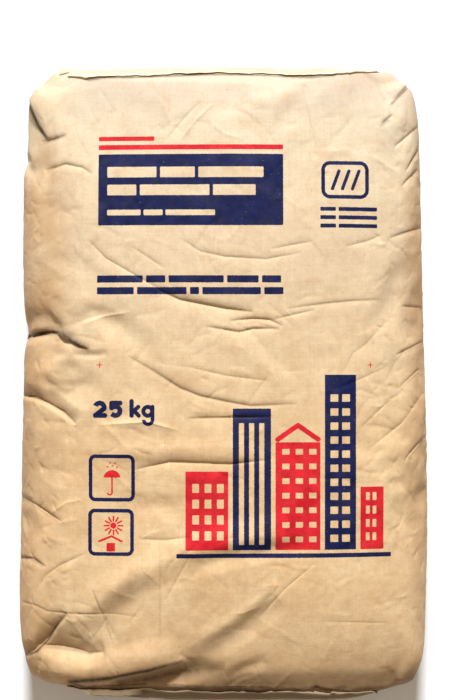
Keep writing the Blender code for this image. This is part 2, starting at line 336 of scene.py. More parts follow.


# Creases of the face, read off the photo: kind, height in mm, reach in mm, and the points that
# they run through, in mm from the middle of the bag. A valley or ridge is a straight-sided
# fold line, and a step is where the paper laps over on its right as the line runs. Some end with
# the painted shade and dirt of their fold: how dark on the line, its width in mm, and how dark above
# the line, the side that faces away from the light.
faceCreases = (
    # Valve end
    ("step", -3.4, 8, ((-176, 253), (-173, 247), (-170, 240), (-165, 229), (-157, 217)), (1.0, 1.3, 0.25)),
    ("valley", 2.0, 7, ((-163, 214), (-152, 217), (-141, 221)), (0.45, 1.2, 0.15)),
    ("valley", 1.6, 7, ((-158, 190), (-140, 196), (-126, 193), (-117, 187)), (0.3, 1.0, 0.0)),
    ("ridge", 0.9, 7, ((-41, 215), (-24, 236), (-8, 252))),
    ("valley", 0.8, 8, ((-82, 122), (-52, 102))),
    ("valley", 1.2, 9, ((-40, 130), (-21, 118), (2, 113), (38, 111), (70, 117))),
    ("step", 2.6, 8, ((166, 266), (158, 258), (148, 248)), (0.75, 0.9, 0.0)),
    ("valley", 1.1, 6, ((72, 268), (73, 250), (78, 228), (82, 200))),
    ("valley", 0.8, 6, ((-52, 217), (-37, 235), (-21, 252))),
    ("line", 0.4, 3,
     ((-121, 270.9), (-105, 273.0), (-84, 273.1), (-48, 274.5), (-12, 275.8), (32, 275.4), (68, 273.3),
      (80, 273.2), (100, 275.4)), (0.75, 0.9, 0.0)),
    # Right side
    ("valley", 2.0, 6, ((149, 236), (139, 230)), (0.5, 1.6, 0.0)),
    ("valley", 1.6, 6, ((150, 210), (173, 228)), (0.3, 0.9, 0.0)),
    ("valley", 1.8, 6, ((162, 190), (176, 214)), (0.35, 0.9, 0.0)),
    ("valley", 1.5, 6, ((158, 176), (172, 191)), (0.35, 0.9, 0.0)),
    ("valley", 0.85, 7, ((108, 122), (128, 127), (142, 133))),
    ("valley", 1.2, 7, ((148, 130), (178, 140)), (0.45, 0.9, 0.0)),
    ("valley", 0.8, 5, ((162, 69), (178, 68)), (0.2, 1.0, 0.0)),
    ("valley", 0.5, 7, ((104, 5), (116, 27), (127, 34), (145, 52), (157, 62))),
    ("valley", 0.6, 7, ((102, -4), (118, 2), (148, 15))),
    ("valley", 0.7, 7, ((121, -41), (152, -12))),
    ("valley", 0.9, 8, ((131, -58), (159, -36), (179, -9))),
    ("valley", 1.4, 6, ((156, 25), (180, 37)), (0.35, 0.9, 0.0)),
    ("valley", 1.1, 6, ((158, -4), (176, 12)), (0.35, 0.9, 0.0)),
    ("valley", 1.6, 6, ((164, -67), (181, -48)), (0.4, 0.9, 0.0)),
    # Left side
    ("valley", 4.2, 7, ((-184, 39), (-174, 42), (-163, 44), (-152, 45)), (1.0, 1.8, 0.3)),
    ("valley", 3.6, 10, ((-172, 44), (-156, 46), (-143, 45)), (1.0, 2.2, 0.45)),
    ("step", -3.0, 9, ((-150, 46), (-143, 43), (-135, 38), (-128, 34), (-120, 31)), (0.95, 2.6, 0.75)),
    ("soft", 1.3, 5, ((-134, 27), (-124, 26), (-113, 26), (-104, 28)), (0.25, 2.0, 0.0)),
    ("ridge", 0.8, 8, ((-127, 52), (-107, 60), (-83, 64))),
    ("drop", 4.8, 8, ((-178, -10), (-168, -12), (-155, -17), (-142, -25), (-131, -36)), (0.8, 1.1, 0.42)),
    ("valley", 2.0, 8, ((-182, -100), (-157, -117), (-146, -124)), (0.35, 1.0, 0.1)),
    ("ridge", 0.8, 7, ((-158, -117), (-141, -106), (-128, -104))),
    ("valley", 2.0, 6, ((-182, -155), (-171, -156), (-160, -164)), (0.5, 1.4, 0.0)),
    ("valley", 0.9, 7, ((-167, -184), (-159, -171), (-148, -163), (-122, -151))),
    # Middle
    ("valley", 1.3, 10, ((-122, 129), (-106, 112), (-85, 100), (-52, 81))),
    ("valley", 2.9, 12, ((-60, 84), (-39, 75), (2, 67), (26, 64)), (0.45, 1.2, 0.18)),
    ("valley", 0.9, 8, ((42, 120), (80, 127))),
    ("valley", 1.5, 9,
     ((-86, 25), (-64, 12), (-39, -4), (-21, -11), (2, -16), (24, -20), (66, -18)), (0.4, 1.1, 0.15)),
    ("valley", 1.8, 9, ((-32, -31), (4, -30), (44, -30)), (0.45, 1.0, 0.0)),
    ("ridge", 1.2, 8, ((-112, -37), (-68, -34), (-40, -42))),
    ("valley", 2.4, 13, ((-80, -77), (-48, -70), (6, -72), (40, -68)), (0.2, 1.2, 0.25)),
    ("valley", 1.9, 7, ((-16, 51), (2, 48), (14, 46), (26, 49), (50, 49)), (0.28, 0.9, 0.0)),
    ("valley", 1.8, 7, ((5, 56), (26, 58), (41, 57), (53, 51)), (0.25, 0.9, 0.0)),
    ("valley", 1.0, 7, ((44, 57), (82, 66))),
    ("valley", 0.95, 7, ((56, 67), (79, 70), (95, 72), (116, 74), (144, 75)), (0.3, 0.9, 0.0)),
    ("valley", 0.9, 10, ((-33, 15), (2, 7), (42, 2))),
    ("swell", 1.4, 12, ((-119, -61), (-48, -59), (14, -57))),
    ("valley", 1.2, 9, ((-76, -139), (-52, -140), (-30, -137))),
    ("soft", 1.8, 15, ((-84, -111), (-60, -109), (-36, -113))),
    # Lower left corner
    ("line", 0.7, 5,
     ((-178, -195), (-167, -198), (-157, -203), (-139, -205), (-100, -206), (-74, -208)), (0.32, 0.7, 0.0)),
    ("line", 0.7, 4, ((-117, -184), (-109, -205), (-100, -229)), (0.4, 0.8, 0.0)),
    ("drop", 3.4, 8,
     ((-140, -205), (-149, -216), (-157, -229), (-167, -239), (-177, -243)), (0.95, 1.3, 0.4)),
    ("drop", 6.0, 19,
     ((-166, -234), (-148, -236), (-134, -238), (-120, -241), (-106, -238)), (0.4, 1.2, 0.46)),
    ("line", 0.8, 5, ((-166, -254), (-152, -259), (-139, -256))),
    ("soft", 2.4, 18, ((-118, -224), (-92, -198), (-66, -172)), (0.0, 1.0, 0.28)),
    ("swell", 5.5, 19, ((-160, -252), (-137, -255), (-108, -253), (-84, -248), (-60, -242), (-40, -237))),
    ("swell", 3.5, 17, ((-160, -250), (-140, -254), (-116, -255))),
    # Lower end
    ("line", 0.6, 6, ((-53, -196), (-41, -174), (-29, -152))),
    ("ridge", 0.4, 3, ((-57, -138), (-57, -232)), (0.18, 0.8, 0.0)),
    ("step", 4.4, 12,
     ((-38, -248.5), (-53, -252), (-66, -256), (-83, -259), (-100, -262.5), (-115, -264.5),
      (-137, -266)), (1.0, 2.0, 0.0)),
    ("step", 2.4, 5, ((-70, -268), (-92, -269), (-108, -270), (-123, -271), (-134, -268)), (0.9, 1.3, 0.0)),
    ("soft", 4.0, 13, ((-92, -268), (-62, -262), (-40, -257), (-18, -254), (2, -255)), (0.0, 1.0, 0.82)),
    ("soft", 2.7, 14, ((-34, -249), (-12, -238), (12, -222), (30, -209), (50, -194)), (0.0, 1.0, 0.38)),
    ("swell", 1.0, 10, ((-22, -226), (6, -214), (28, -197), (48, -178))),
    ("line", 0.7, 5, ((82, -160), (54, -184), (30, -212))),
    ("swell", 3.3, 21, ((59, -131), (-8, -141), (-57, -160), (-101, -185), (-138, -208))),
    ("soft", 2.2, 13, ((-42, -160), (-12, -160), (20, -152), (56, -147), (84, -147))),
    ("soft", 1.8, 9, ((2, -262), (18, -254), (38, -246))),
    ("valley", 2.4, 5, ((82, -270), (88, -272), (96, -273)), (0.95, 1.6, 0.0)),
    ("step", -1.4, 4, ((-52, -269), (-20, -270), (40, -270.5), (90, -271), (112, -271)), (0.8, 1.3, 0.0)),
    ("line", 0.35, 3, ((84, -212), (150, -213)), (0.15, 0.7, 0.0)),
    ("valley", 0.4, 4, ((81, -182), (81, -280))),
)

# Small creases anywhere on the sheet, in mm: how far they lie from its middle, how much they turn and
# bend, and their length, height and reach
crumple = {
    "seed": 11, "count": 800, "across": 300, "along": 365, "turn": 0.9, "bow": 0.2,
    "length": (12, 46), "height": (0.12, 0.60), "reach": (4, 11),
}

# Short ones along the rubbed edges of the two sides
edgeWrinkles = {
    "seed": 3, "count": 420, "across": (152, 262), "along": (-262, 258), "lean": 0.5, "turn": 0.6,
    "bow": -0.15, "length": (6, 20), "height": (0.22, 0.65), "reach": (2.6, 5.5),
}

# How strong all of these are, and where that starts and is full, in metres: up from the floor, at the
# corners of the ends, from the valve's half to the lower one, and in the calmer part low on the right
crumpleFades = {
    "floor": (0.004, 0.030), "corner": ((0.135, 0.160), (0.235, 0.262)), "upperShare": 0.85,
    "lowerHalf": (-0.09, 0.0), "calm": 0.45, "calmPlace": ((0.03, 0.08), (0.12, 0.17), (0.05, 0.08)),
}

# Flat facets of the crumpled paper, from large to small: spacing across and along, height, in mm.
# Then half the size of the sheet that they fill, and how irregular they are.
facets = {
    "seed": 5, "sizes": ((74, 46, 1.35), (34, 22, 0.55), (17, 12, 0.27)),
    "half": (320.0, 400.0), "jitter": 0.42,
}


def alongLine(flat, path):  # distance to a path, the side of it and the share of its length
    best = np.full(len(flat), 1e9)
    side = np.ones(len(flat))
    share = np.zeros(len(flat))
    path = np.array(path, dtype=float)
    steps = path[1:] - path[:-1]
    lengths = np.linalg.norm(steps, axis=1)
    done = 0.0
    for begin, step, length in zip(path[:-1], steps, lengths):
        away = flat - begin
        t = np.clip((away @ step) / (length * length), 0.0, 1.0)
        distance = np.linalg.norm(away - t[:, None] * step, axis=1)
        nearer = distance < best
        best = np.where(nearer, distance, best)
        side = np.where(nearer, np.sign(step[0] * away[:, 1] - step[1] * away[:, 0]), side)
        share = np.where(nearer, (done + t * length) / lengths.sum(), share)
        done += length
    return best, side, share


def nearPath(flat, path, margin):  # the points in the box around a path
    places = np.array(path)
    low, high = places.min(axis=0) - margin, places.max(axis=0) + margin
    return np.where(((flat > low) & (flat < high)).all(axis=1))[0]


# Each kind's broad and narrow height, and its reach above and below the line
creaseKinds = {
    "valley": (-0.70, -0.40, 0.7, 1.3),
    "ridge": (0.70, 0.40, 0.7, 1.3),
    "drop": (-1.00, -0.15, 1.5, 0.5),
    "soft": (-1.00, 0.00, 1.0, 1.0),
    "swell": (1.00, 0.00, 1.0, 1.0),
    "line": (-0.15, -0.85, 0.8, 1.0),
    "step": (1.00, 0.00, 1.0, 1.0),
}

# A crease that starts or ends past this place, in mm, runs on over the bag's edge, and others fade
# over a share of their length. Then how far out a crease is looked for, in reaches, how wide the lap of
# a step and the middle of a fold are, in mm, how late each kind and its painted shade rise to the line,
# how late the painted shade and dirt fade, and how much a point has to face the camera, or the end, to
# get creases and painted shade and dirt.
folding = {
    "edge": (174, 262), "fade": 0.3, "margin": 1.5, "lap": 0.7, "sharp": 0.9,
    "stepPower": 1.6, "dropPower": 1.4, "foldPower": 2.4, "shadePower": 1.2, "shadeAndDirtPower": 0.6,
    "faceCreases": (-0.1, 0.45), "shadeAndDirt": (-0.2, 0.3), "endCreases": (0.15, 0.60),
}


def creaseShape(flat, kind, reach, path, runsOver):  # which points are near the path, and how near
    inside = nearPath(flat, path, reach * folding["margin"])
    distance, side, share = alongLine(flat[inside], path)
    fade = 1.0
    for place, part in ((path[0], share), (path[-1], 1.0 - share)):
        isOnEdge = abs(place[0]) > folding["edge"][0] or abs(place[1]) > folding["edge"][1]
        if not (runsOver and isOnEdge):
            fade = fade * np.clip(part / folding["fade"], 0.0, 1.0)
    isAbove = side * (path[-1][0] - path[0][0] + 1e-6) > 0
    above, below = creaseKinds[kind][2:]
    near = np.clip(1.0 - distance / (reach * np.where(isAbove, above, below)), 0.0, 1.0)
    return inside, distance, side, isAbove, near, np.sqrt(fade)


def creaseHeight(flat, kind, height, reach, path, runsOver=False):
    inside, distance, side, _, near, fade = creaseShape(flat, kind, reach, path, runsOver)
    broad, narrow = creaseKinds[kind][:2]
    if kind == "step":
        lap = np.tanh(-side * distance / folding["lap"])
        return inside, height * 0.5 * lap * near ** folding["stepPower"] * fade
    if kind == "drop":
        bowl = near ** folding["dropPower"]
    elif narrow == 0:
        bowl = smoothShare(near, 0.0, 1.0)
    else:
        bowl = near ** folding["foldPower"]
    return inside, height * (broad * bowl + narrow * np.exp(-distance / folding["sharp"])) * fade


def facetHeight(flat, spacingX, spacingY, height):  # flat triangles between random points
    halfX, halfY = facets["half"]
    jitter = facets["jitter"]
    corners = []
    for i in range(int(2 * halfX / spacingX) + 2):
        for j in range(int(2 * halfY / spacingY) + 2):
            shift = 0.5 * (j % 2)
            x = -halfX + (i + shift + random.uniform(-jitter, jitter)) * spacingX
            y = -halfY + (j + random.uniform(-jitter, jitter)) * spacingY
            corners.append(Vector((x, y)))
    heights = [random.uniform(-1.0, 1.0) * height for _ in corners]
    triangles = delaunay_2d_cdt(corners, [], [], 0, 1e-6)[2]
    result = np.zeros(len(flat))
    order = np.argsort(flat[:, 0])
    ordered = flat[order, 0]
    for a, b, c in triangles:
        pa, pb, pc = (np.array(corners[i]) for i in (a, b, c))
        low, high = np.minimum(np.minimum(pa, pb), pc), np.maximum(np.maximum(pa, pb), pc)
        first, last = np.searchsorted(ordered, (low[0], high[0]))
        inside = order[first:last]
        inside = inside[(flat[inside, 1] >= low[1]) & (flat[inside, 1] <= high[1])]
        if len(inside) == 0:
            continue
        ab, ac, away = pb - pa, pc - pa, flat[inside] - pa
        area = ab[0] * ac[1] - ab[1] * ac[0]
        s = (away[:, 0] * ac[1] - away[:, 1] * ac[0]) / area
        t = (away[:, 1] * ab[0] - away[:, 0] * ab[1]) / area
        hit = (s >= -1e-9) & (t >= -1e-9) & (s + t <= 1.0 + 1e-9)
        rise = s[hit] * (heights[b] - heights[a])
        result[inside[hit]] = heights[a] + rise + t[hit] * (heights[c] - heights[a])
    return result


def refineCreases(sack):  # halve the cells that a main crease of the face runs through
    mesh = sack.data
    points = readPoints(mesh)
    flat = seenFromAbove(points) / mm
    near = np.zeros(len(points), dtype=bool)
    for _, _, _, path, *_ in faceCreases:
        inside = nearPath(flat, path, fineness["nearCrease"])
        inside = inside[points[inside, 2] > fineness["above"]]
        near[inside] |= alongLine(flat[inside], path)[0] < fineness["nearCrease"]
    cells = bmesh.new()
    cells.from_mesh(mesh)
    split = [edge for edge in cells.edges if near[edge.verts[0].index] and near[edge.verts[1].index]]
    bmesh.ops.subdivide_edges(cells, edges=split, cuts=1, use_grid_fill=True)
    cells.to_mesh(mesh)
    cells.free()
    mesh.update()
    print("creases refined:", len(mesh.vertices), "points")


# Painted shade along the lower end, which faces away from the light: how much, how far down and
# across it starts and is full, in mm, and the heights in metres over which it fades to the floor
lowerRimShade = ((0.72, (266.0, 272.5), (-165, -140)), (0.48, (251.0, 262.0), (-40, 0)))
lowerRimShadeHeight = (0.02, 0.06)


# Painted shade and dirt: dark fold lines, shade on their side away from the light, and a dark lower rim
def paintFoldShadeAndDirt(sack):  # written as an attribute, which the paper's material reads
    mesh = sack.data
    points = readPoints(mesh)
    flat = seenFromAbove(points) / mm
    shadeAndDirt = np.zeros(len(points))
    for kind, _, reach, path, *shadeAndDirtLook in faceCreases:
        for line, width, shade in shadeAndDirtLook:
            inside, distance, _, isAbove, near, fade = creaseShape(flat, kind, reach, path, True)
            amount = line * np.exp(-(distance / width) ** 2) * fade ** folding["shadeAndDirtPower"]
            shaded = near ** folding["shadePower"] * (1.0 if kind == "soft" else isAbove)
            amount = np.maximum(amount, shade * shaded * fade)
            shadeAndDirt[inside] = np.maximum(shadeAndDirt[inside], amount)
    shadeAndDirt *= smoothShare(readPoints(mesh, "normal")[:, 2], *folding["shadeAndDirt"])
    # Painted shade along the lower rim
    for amount, down, across in lowerRimShade:
        onRimShade = amount * smoothShare(-flat[:, 1], *down) * smoothShare(flat[:, 0], *across)
        shadeAndDirt = np.maximum(shadeAndDirt, onRimShade * smoothShare(points[:, 2], *lowerRimShadeHeight))
    mesh.attributes.new("foldShadeAndDirt", "FLOAT", "POINT").data.foreach_set("value", shadeAndDirt)


def readPaper(mesh):  # where each point lies on the unfolded paper, in mm
    where = np.zeros(len(mesh.loops), dtype=np.int64)
    mesh.loops.foreach_get("vertex_index", where)
    places = np.zeros(len(mesh.loops) * 2)
    mesh.uv_layers["paperFlat"].data.foreach_get("uv", places)
    places = places.reshape(-1, 2) / mm
    order = np.argsort(-np.abs(places).sum(axis=1), kind="stable")
    flat = np.zeros((len(mesh.vertices), 2))
    flat[where[order]] = places[order]
    return flat


def smallCrease(x, y, turn, half, bow, look):  # kind, height, reach and path of a random crease
    dx, dy = half * math.cos(turn), half * math.sin(turn)
    kind = random.choice(("valley", "valley", "ridge"))
    height, reach = random.uniform(*look["height"]), random.uniform(*look["reach"])
    return kind, height, reach, ((x - dx, y - dy), (x - bow * dy, y + bow * dx), (x + dx, y + dy))


def smallCreases():
    random.seed(crumple["seed"])
    for _ in range(crumple["count"]):
        x = random.uniform(-crumple["across"], crumple["across"])
        y = random.uniform(-crumple["along"], crumple["along"])
        turn = random.gauss(0.0, crumple["turn"])
        half = random.uniform(*crumple["length"]) / 2
        yield smallCrease(x, y, turn, half, random.uniform(-crumple["bow"], crumple["bow"]), crumple)
    random.seed(edgeWrinkles["seed"])
    for number in range(edgeWrinkles["count"]):
        side = 1 if number % 2 else -1
        x = side * random.uniform(*edgeWrinkles["across"])
        y = random.uniform(*edgeWrinkles["along"])
        turn = random.gauss(edgeWrinkles["lean"] * side, edgeWrinkles["turn"])
        half = random.uniform(*edgeWrinkles["length"]) / 2
        yield smallCrease(x, y, turn, half, edgeWrinkles["bow"], edgeWrinkles)


def creaseFace(sack):
    mesh = sack.data
    points = readPoints(mesh)
    normals = readPoints(mesh, "normal")
    sheet = readPaper(mesh)
    random.seed(facets["seed"])
    raised = sum(facetHeight(sheet, *size) for size in facets["sizes"])
    for crease in smallCreases():
        inside, change = creaseHeight(sheet, *crease)
        raised[inside] += change
    fades, upper = crumpleFades, crumpleFades["upperShare"]
    (cornerX, cornerY), (calmX, calmY, calmZ) = fades["corner"], fades["calmPlace"]
    nearCorner = smoothShare(np.abs(points[:, 0]), *cornerX) * smoothShare(np.abs(points[:, 1]), *cornerY)
    raised *= smoothShare(points[:, 2], *fades["floor"]) * (1.0 - nearCorner)
    raised *= upper + (1.0 - upper) * smoothShare(-points[:, 1], *fades["lowerHalf"])
    calm = smoothShare(points[:, 0], *calmX) * smoothShare(-points[:, 1], *calmY)
    raised *= 1.0 - fades["calm"] * calm * smoothShare(points[:, 2], *calmZ)

    flat = seenFromAbove(points) / mm
    height = np.zeros(len(points))
    for crease in faceCreases:
        inside, change = creaseHeight(flat, *crease[:4], runsOver=True)
        height[inside] += change
    facing = smoothShare(normals[:, 2], *folding["faceCreases"])
    points += normals * ((raised + height * facing) * mm)[:, None]
    points[:, 2] = np.maximum(points[:, 2], 0.0)
    writePoints(mesh, points)


# Folded corners of the two ends, in mm: across from the middle and height above the floor
endCreases = {
    "gussetUpper": ("step", 1.6, 9, ((172, 50), (156, 66), (139, 82))),
    "gussetLower": ("step", -1.6, 9, ((172, 40), (157, 26), (139, 12))),
    "gussetMiddle": ("valley", 1.6, 8, ((178, 46), (164, 45), (148, 46))),
}


def creaseEnds(sack):
    mesh = sack.data
    points = readPoints(mesh)
    normals = readPoints(mesh, "normal")
    for end in (-1, 1):
        facing = smoothShare(normals[:, 1] * end, *folding["endCreases"])
        for side in (-1, 1):
            flat = np.stack((points[:, 0] * side, points[:, 2]), axis=1) / mm
            height = np.zeros(len(points))
            for crease in endCreases.values():
                inside, change = creaseHeight(flat, *crease)
                height[inside] += change
            points += normals * (height * facing * mm)[:, None]
    writePoints(mesh, points)


# Kraft paper, as linear colours, among them a painted highlight, painted shade, and painted shade and dirt
kraft = {
    "pale": (0.83, 0.60, 0.350, 1), "deep": (0.72, 0.465, 0.240, 1), "fleck": (0.30, 0.17, 0.08, 1),
    "shadeAndDirt": (0.050, 0.026, 0.013, 1), "cutEdge": (0.92, 0.78, 0.56, 1), "rubbedAndShade": (0.58, 0.345, 0.170, 1),
    "paleHighlight": (0.77, 0.69, 0.53, 1), "paintedTopShade": (0.60, 0.488, 0.385, 1), "scuffed": (0.88, 0.75, 0.57, 1),
    "thread": (0.50, 0.33, 0.17, 1), "fibre": (0.86, 0.68, 0.46, 1), "rough": (0.62, 0.78), "shine": 0.14,
}

# Patterns of the paper: noise scale, detail, roughness and distortion
patterns = {
    "cloud": (26.0, 4.0, 0.55), "formation": (160.0, 4.0, 0.6), "patchy": (34.0, 5.0, 0.65),
    "scuffs": (120.0, 5.0, 0.7, 0.6), "blotches": (78.0, 5.0, 0.65, 0.5), "stains": (17.0, 6.0, 0.7, 0.8),
    "grain": (620.0, 3.0, 0.6), "flecks": (520.0, 2.0, 0.5), "ridges": (42.0, 4.0, 0.5),
}

# And of its threads: scale across and along the sheet, then detail, roughness and distortion
threads = {
    "streaks": ((520.0, 14.0, 1.0), 3.0, 0.6), "wires": ((16.0, 540.0, 1.0), 3.0, 0.6),
    "fibres": ((260.0, 1500.0, 1.0), 3.0, 0.7, 1.5),
}

# Marks laid on the paper in this order: pattern, where it starts and is full, how strong, which colour
marks = (
    ("blotches", 0.50, 0.66, 0.26, "rubbedAndShade"), ("stains", 0.54, 0.70, 0.45, "rubbedAndShade"),
    ("grain", 0.35, 0.72, 0.22, "thread"), ("streaks", 0.30, 0.70, 0.16, "thread"),
    ("wires", 0.30, 0.70, 0.14, "thread"), ("fibres", 0.62, 0.80, 0.30, "fibre"),
    ("flecks", 0.70, 0.76, 0.60, "fleck"))

# Where on the bag the paper is paler as a painted highlight, darker at the top end as painted shade, or
# browner, partly rubbed and partly as painted shade, in metres, or from which strength of a pattern on,
# and how much
wearAndPaintedLight = {
    "tone": (0.38, 0.62), "paleHighlight": (-0.06, 0.27, 0.0, 0.8),
    "topEndShade": (0.225, 0.256, 0.0, 0.75), "topEndShadeAcross": (-0.150, -0.110),
    "left": (-0.135, -0.168), "leftWider": (-0.02, 0.06, 0.0, 0.014), "right": (0.153, 0.170),
    "rightAlong": (-0.20, -0.12, 0.2, 1.0), "corners": (0.165, 0.230, 1.0, 0.28), "low": (-0.222, -0.275),
    "patchy": (0.30, 0.62, 0.35, 1.0), "scuffs": (0.58, 0.70, 0.0, 0.35), "shadeAndDirt": (0.32, 0.62, 0.76, 1.04),
}

# Small relief that the mesh doesn't hold: strength and depth of each bump, and what it is made of
relief = {
    "crumple": (0.42, 0.0012), "fine": (0.30, 0.0003), "facetScale": 55.0, "facetSoftness": 0.25,
    "facet": 0.4, "ridge": 1.3, "fibre": 0.6,
}

# End papers, in metres on the sheet: its size, where the colour changes, where the pale cut edge and
# the lip lie, then how light each paper is low down and above, and how much of its edge shows. On the
# lower paper the darkness above and the dimmer edge are painted shade, and the lip is painted pale as
# a highlight.
endPaper = {
    "mapSize": (0.3, 0.1), "change": (0.058, 0.084), "cutEdge": (0.0970, 0.0985),
    "lipHighlightAlong": (0.0915, 0.0930), "lipHighlightAcross": (0.074, 0.060),
    "valve": {"low": 0.93, "upper": 0.93, "edgeShown": 1.0, "lip": False},
    # Painted shade: the lower paper is dark above and shows less of its pale edge
    "lower": {"low": 0.80, "upper": 0.36, "edgeShown": 0.30, "lip": True},
    "sleeve": {"low": 1.08, "upper": 1.08, "edgeShown": 1.0, "lip": False},
}

# Inks: the thick and the thin colour of each, how soft their edge is and how far it wanders in mm,
# then the noise and the limits of the pinholes, the worn places and the thin places
inks = {
    "navy": ((0.004, 0.007, 0.046, 1), (0.009, 0.014, 0.076, 1)),
    "red": ((0.52, 0.011, 0.019, 1), (0.74, 0.020, 0.032, 1)),
    "edge": 0.12, "bleed": 0.22, "bleedNoise": (1400.0, 2.0),
    "pinholes": ((900.0, 2.0, 0.6), (0.72, 0.76, 1.0, 0.5)),
    "worn": ((60.0, 4.0, 0.6), (0.45, 0.75, 1.0, 0.975)), "thin": ((75.0, 5.0, 0.65), (0.36, 0.64)),
    "lowest": (0.04, 0.05),    # the print is on the face, so above this height
    "nearer": 1.031,           # the face is nearer to the camera than the plane that the print is laid out on
    "rougher": 0.82,
}


class Wiring:  # short ways to add and join a new material's nodes
    def __init__(self, name):
        self.material = bpy.data.materials.new(name)
        self.material.use_nodes = True
        self.tree = self.material.node_tree
        self.shader = self.tree.nodes["Principled BSDF"]

    def feed(self, piece, sockets):  # join each socket to a value's node, or set it to the value
        for name, value in sockets:
            if isinstance(value, bpy.types.NodeSocket):
                self.tree.links.new(value, piece.inputs[name])
            elif value is not None:
                piece.inputs[name].default_value = value

    def node(self, kind, sockets=(), **settings):
        made = self.tree.nodes.new(kind)
        for name, value in settings.items():
            setattr(made, name, value)
        self.feed(made, sockets)
        return made

    def math(self, operation, *values, clamp=False):
        return self.node("ShaderNodeMath", enumerate(values), operation=operation, use_clamp=clamp).outputs[0]

    def vector(self, operation, *values, scalar=False):
        made = self.node("ShaderNodeVectorMath", enumerate(values), operation=operation)
        return made.outputs["Value" if scalar else "Vector"]

    def noise(self, place, scale, detail=3.0, rough=0.5, distortion=0.0):
        return self.node("ShaderNodeTexNoise", (
            ("Vector", place), ("Scale", scale), ("Detail", detail), ("Roughness", rough),
            ("Distortion", distortion))).outputs["Fac"]

    def stretch(self, value, low, high, toLow=0.0, toHigh=1.0):
        return self.node("ShaderNodeMapRange", (
            ("Value", value), ("From Min", low), ("From Max", high), ("To Min", toLow),
            ("To Max", toHigh))).outputs["Result"]

    def mix(self, share, first, second, blend="MIX"):
        sockets = ((0, share), (6, first), (7, second))
        return self.node("ShaderNodeMix", sockets, data_type="RGBA", blend_type=blend).outputs[2]

    def scaled(self, place, scale):
        return self.node("ShaderNodeMapping", (("Vector", place), ("Scale", scale))).outputs["Vector"]

    def split(self, place):  # its three values
        return self.node("ShaderNodeSeparateXYZ", ((0, place),)).outputs


# Shapes of the print. Each gives its distance from the ink's edge in mm, below zero where there is ink.
class Print:
    def __init__(self, wiring, place):
        self.wiring = wiring
        self.place = place

    def draw(self, row):  # a row of the artwork is a shape's name and its values
        name, *values = row
        return getattr(self, name)(*values)

    def join(self, rows):
        shapes = [self.draw(row) for row in rows]
        while len(shapes) > 1:
            pairs = [shapes[i:i + 2] for i in range(0, len(shapes), 2)]
            shapes = [self.wiring.math("MINIMUM", *pair) if len(pair) == 2 else pair[0] for pair in pairs]
        return shapes[0]

    def box(self, left, right, low, high, corner=0.5):
        w = self.wiring
        middle = ((left + right) / 2, (low + high) / 2, 0.0)
        half = ((right - left) / 2 - corner, (high - low) / 2 - corner, 0.0)
        away = w.vector("ABSOLUTE", w.vector("SUBTRACT", self.place, middle))
        out = w.vector("MAXIMUM", w.vector("SUBTRACT", away, half), (0.0, 0.0, 0.0))
        return w.math("SUBTRACT", w.vector("LENGTH", out, scalar=True), corner)

    def frame(self, left, right, low, high, corner, thick):
        w = self.wiring
        edge = w.math("ADD", self.box(left, right, low, high, corner), thick / 2)
        return w.math("SUBTRACT", w.math("ABSOLUTE", edge), thick / 2)

    def disc(self, x, y, radius):
        w = self.wiring
        return w.math("SUBTRACT", w.vector("DISTANCE", self.place, (x, y, 0.0), scalar=True), radius)

    def ring(self, x, y, radius, thick):
        w = self.wiring
        return w.math("SUBTRACT", w.math("ABSOLUTE", self.disc(x, y, radius)), thick / 2)

    def stroke(self, startX, startY, endX, endY, thick):
        w = self.wiring
        run = Vector((endX - startX, endY - startY, 0.0))
        away = w.vector("SUBTRACT", self.place, (startX, startY, 0.0))
        share = w.vector("DOT_PRODUCT", away, tuple(run), scalar=True)
        share = w.math("MULTIPLY", share, 1.0 / run.length_squared, clamp=True)
        nearest = w.node("ShaderNodeVectorMath", ((0, tuple(run)), ("Scale", share)), operation="SCALE")
        distance = w.vector("DISTANCE", away, nearest.outputs["Vector"], scalar=True)
        return w.math("SUBTRACT", distance, thick / 2)

    def part(self, x, y, towardsX, towardsY, *row):  # what lies of a shape past a point, towards a side
        w = self.wiring
        away = w.vector("SUBTRACT", self.place, (x, y, 0.0))
        past = w.vector("DOT_PRODUCT", away, (-towardsX, -towardsY, 0.0), scalar=True)
        return w.math("MAXIMUM", self.draw(row), past)

    def cut(self, row, *holes):
        w = self.wiring
        return w.math("MAXIMUM", self.draw(row), w.math("MULTIPLY", self.join(holes), -1.0))

    def words(self, left, low, tall, gap, *lengths):  # a line of words, as plain bars
        bars = []
        for length in lengths:
            bars.append(("box", left, left + length, low, low + tall, 0.9))
            left += length + gap
        return self.join(bars)

    def windows(self, left, low, pitchX, pitchY, columns, rows, wide, tall):
        places = [(left + i * pitchX, low + j * pitchY) for i in range(columns) for j in range(rows)]
        return self.join([("box", x, x + wide, y, y + tall) for x, y in places])

    def rays(self, x, y, count, inner, outer, thick):
        turns = [2 * math.pi * index / count for index in range(count)]
        sides = [(math.cos(turn), math.sin(turn)) for turn in turns]
        return self.join([
            ("stroke", x + inner * a, y + inner * b, x + outer * a, y + outer * b, thick) for a, b in sides])


